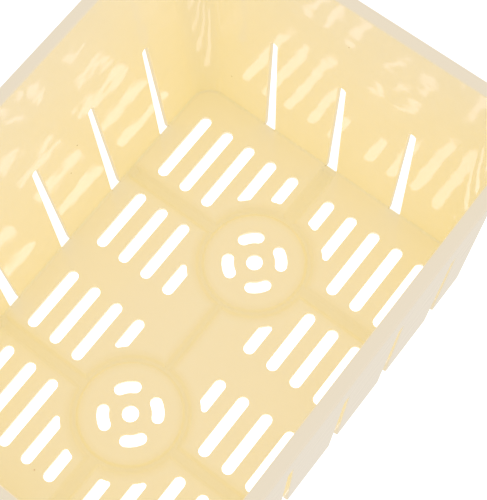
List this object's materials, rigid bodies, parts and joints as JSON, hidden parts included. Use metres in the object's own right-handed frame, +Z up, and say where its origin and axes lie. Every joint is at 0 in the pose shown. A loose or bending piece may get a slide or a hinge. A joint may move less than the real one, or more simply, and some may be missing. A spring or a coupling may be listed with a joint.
{
  "type": "slotted bee excluder tray",
  "caption": "Deep open-topped rectangular plastic tray with a flanged rim, tapered wall slots and a floor of bee-gap slots around two round vent discs.",
  "frame": {"origin": "middle of the underside, at the level that the tray rests on", "axes": "+X along the length (the direction of the floor slots), +Y across the width, +Z up out of the open top"},
  "size_m": [0.1798, 0.1352, 0.1048],
  "materials": {
    "ivory_plastic": "glossy moulded plastic, slightly translucent ivory"
  },
  "bodies": {
    "root": {"centre_gutter": "ivory_plastic", "corner_post_back_left": "ivory_plastic", "corner_post_back_right": "ivory_plastic", "corner_post_front_left": "ivory_plastic", "corner_post_front_right": "ivory_plastic", "corner_rim_back_left": "ivory_plastic", "corner_rim_back_right": "ivory_plastic", "corner_rim_front_left": "ivory_plastic", "corner_rim_front_right": "ivory_plastic", "cross_gutter_back_left": "ivory_plastic", "cross_gutter_back_right": "ivory_plastic", "cross_gutter_front_left": "ivory_plastic", "cross_gutter_front_right": "ivory_plastic", "end_gutter_left": "ivory_plastic", "end_gutter_right": "ivory_plastic", "end_rim_left": "ivory_plastic", "end_rim_right": "ivory_plastic", "end_wall_left": "ivory_plastic", "end_wall_right": "ivory_plastic", "floor_grille_back_centre": "ivory_plastic", "floor_grille_back_left": "ivory_plastic", "floor_grille_back_right": "ivory_plastic", "floor_grille_front_centre": "ivory_plastic", "floor_grille_front_left": "ivory_plastic", "floor_grille_front_right": "ivory_plastic", "long_rim_back": "ivory_plastic", "long_rim_front": "ivory_plastic", "long_wall_back": "ivory_plastic", "long_wall_front": "ivory_plastic", "ring_gutter_left": "ivory_plastic", "ring_gutter_right": "ivory_plastic", "vent_disc_left": "ivory_plastic", "vent_disc_right": "ivory_plastic"}
  },
  "joints": []
}
